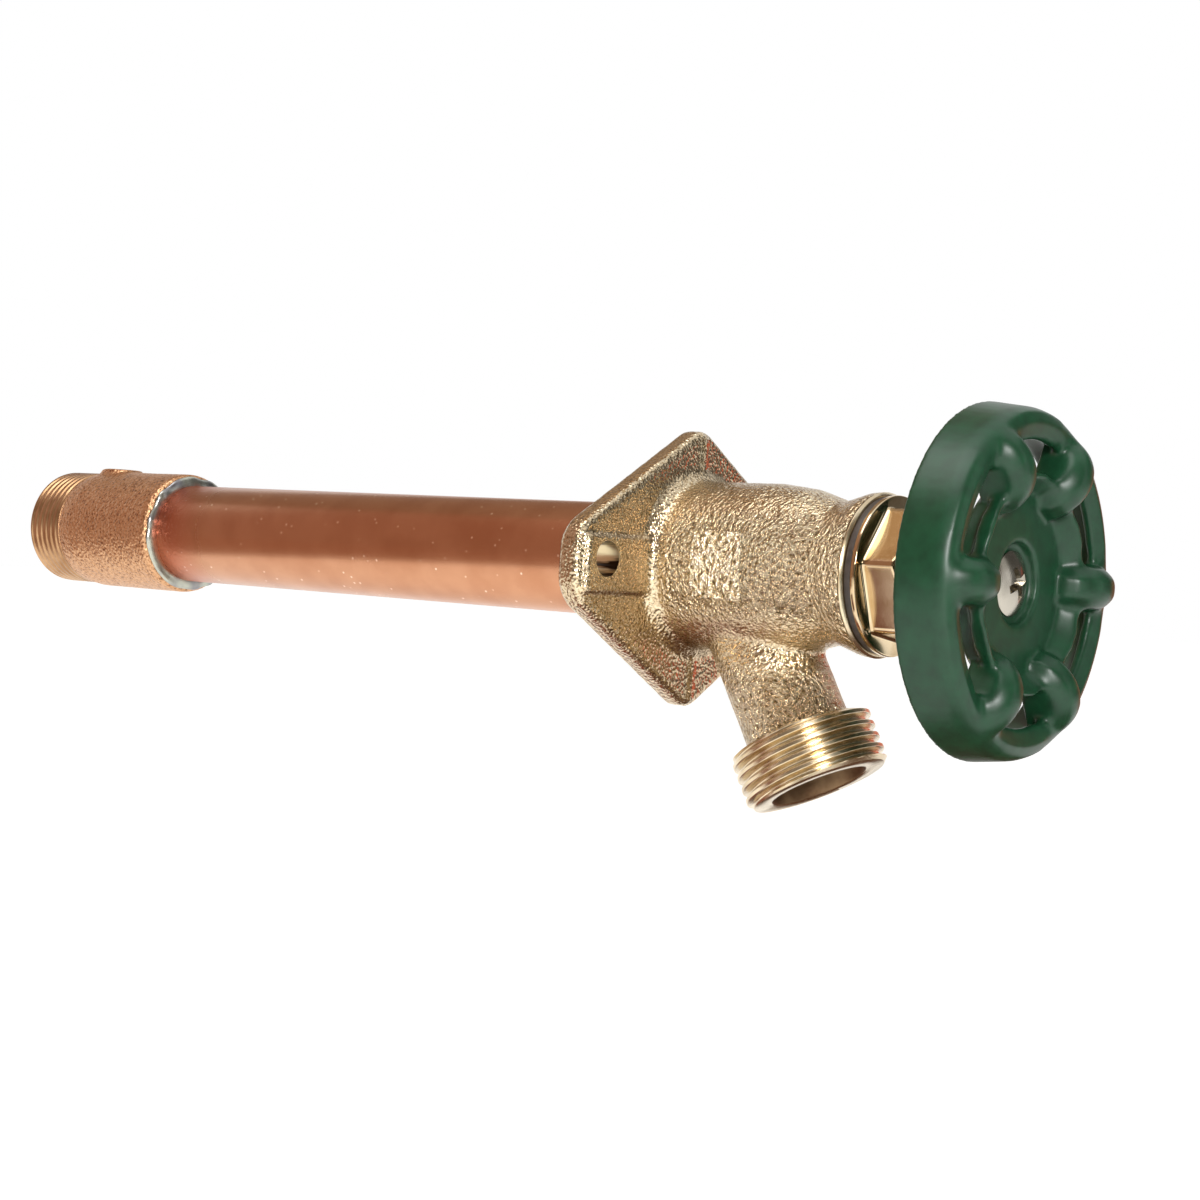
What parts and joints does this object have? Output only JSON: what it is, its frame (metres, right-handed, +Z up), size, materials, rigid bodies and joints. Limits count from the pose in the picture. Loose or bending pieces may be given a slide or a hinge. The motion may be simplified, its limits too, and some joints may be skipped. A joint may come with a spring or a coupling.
{
  "type": "wall hydrant",
  "caption": "Frost-free wall hydrant: copper casing tube with a threaded inlet, cast brass flanged head with an angled hose spout, and a ridged green handwheel.",
  "frame": {"origin": "centre of the flange's back face, where the casing tube's axis leaves the wall", "axes": "+Y along the tube into the wall, -Y out towards the handwheel, +Z up, +X to the right when facing the wall from outside"},
  "size_m": [0.072, 0.265, 0.0756],
  "materials": {
    "copper": "drawn copper tube, satin with a few specks",
    "cast_bronze": "sand-cast bronze, rough, with machined thread",
    "silver_solder": "bright solder fillet",
    "cast_brass": "sand-cast brass, tumbled, with machined collar, thread and mouth",
    "polished_brass": "machined and plated, bright",
    "machined_brass": "turned",
    "black_rubber": "moulded",
    "graphite_packing": "pressed ring",
    "stainless_wire": "drawn",
    "nylon": "moulded",
    "green_enamel": "die casting with semi-gloss green enamel",
    "nickel_plate": "bright nickel plate"
  },
  "bodies": {
    "valve_body": {"casing_tube": "copper", "inlet_fitting": "cast_bronze", "inlet_solder_ring": "silver_solder", "head_solder_ring": "silver_solder", "head_casting": "cast_brass", "float_stop_ring": "machined_brass", "breaker_spring": "stainless_wire", "bonnet_gasket": "black_rubber", "bonnet": "polished_brass", "packing_washer": "machined_brass", "stem_packing": "graphite_packing", "packing_gland": "machined_brass", "packing_nut": "polished_brass"},
    "seat_disc_assembly": {"seat_disc": "machined_brass", "seat_washer": "black_rubber", "seat_washer_screw": "machined_brass"},
    "stem_assembly": {"stem": "machined_brass", "operating_rod": "machined_brass", "rod_pin": "stainless_wire", "rod_guide": "nylon", "handwheel": "green_enamel", "handle_screw": "nickel_plate"},
    "float": {"breaker_float": "black_rubber"}
  },
  "joints": [
    {"name": "stem_slide", "type": "slide", "parent": "valve_body", "child": "seat_disc_assembly", "axis": [0, -1, 0], "range_m": [0, 0.00635]},
    {"name": "wheel_turn", "type": "hinge", "parent": "seat_disc_assembly", "child": "stem_assembly", "pos_m": [0, -0.072, 0], "axis": [0, -1, 0], "range_deg": [0, 1080]},
    {"name": "float_lift", "type": "slide", "parent": "valve_body", "child": "float", "axis": [0, -1, 0], "range_m": [0, 0.0014], "stiffness_N_per_m": 40, "springref_m": -0.002, "deforming": ["breaker_spring"]}
  ],
  "couplings": [
    {"joint": "stem_slide", "follows": "wheel_turn", "m_per_rad": 0.00033688}
  ]
}
